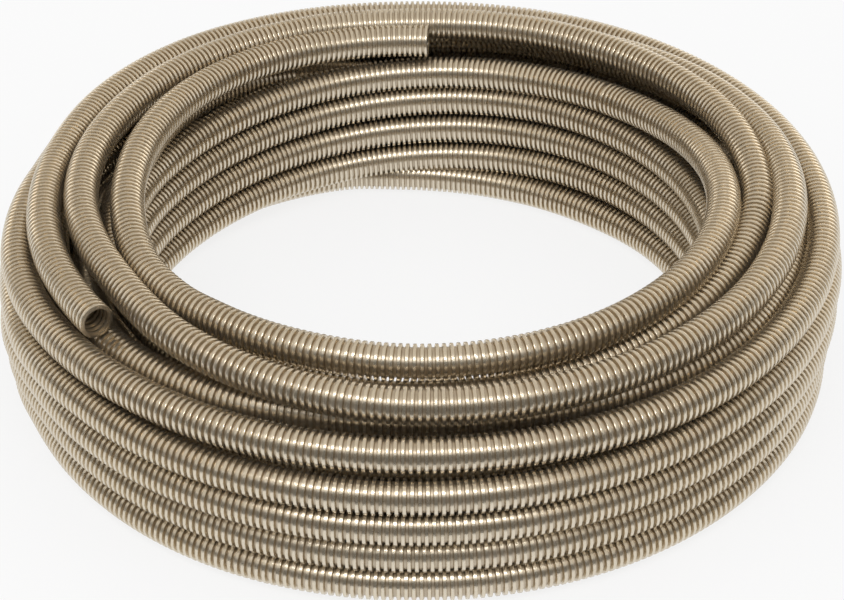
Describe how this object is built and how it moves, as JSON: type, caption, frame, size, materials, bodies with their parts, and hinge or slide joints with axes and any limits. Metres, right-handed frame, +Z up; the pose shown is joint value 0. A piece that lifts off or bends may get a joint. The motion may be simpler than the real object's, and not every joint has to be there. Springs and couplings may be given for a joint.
{
  "type": "coil of corrugated stainless steel tubing",
  "caption": "Length of bare corrugated stainless steel tube wound into a flat-lying coil, both ends cut square and open, for flexible fluid or gas lines.",
  "frame": {"origin": "middle of the coil's footprint, on the floor it lies on", "axes": "+Z up along the coil's axis, -Y towards the side where the outer cut end shows, +X to the right"},
  "size_m": [0.4222, 0.4226, 0.1079],
  "materials": {
    "stainless": "bright annealed, warm grey"
  },
  "bodies": {
    "root": {"tubing": "stainless"}
  },
  "joints": []
}
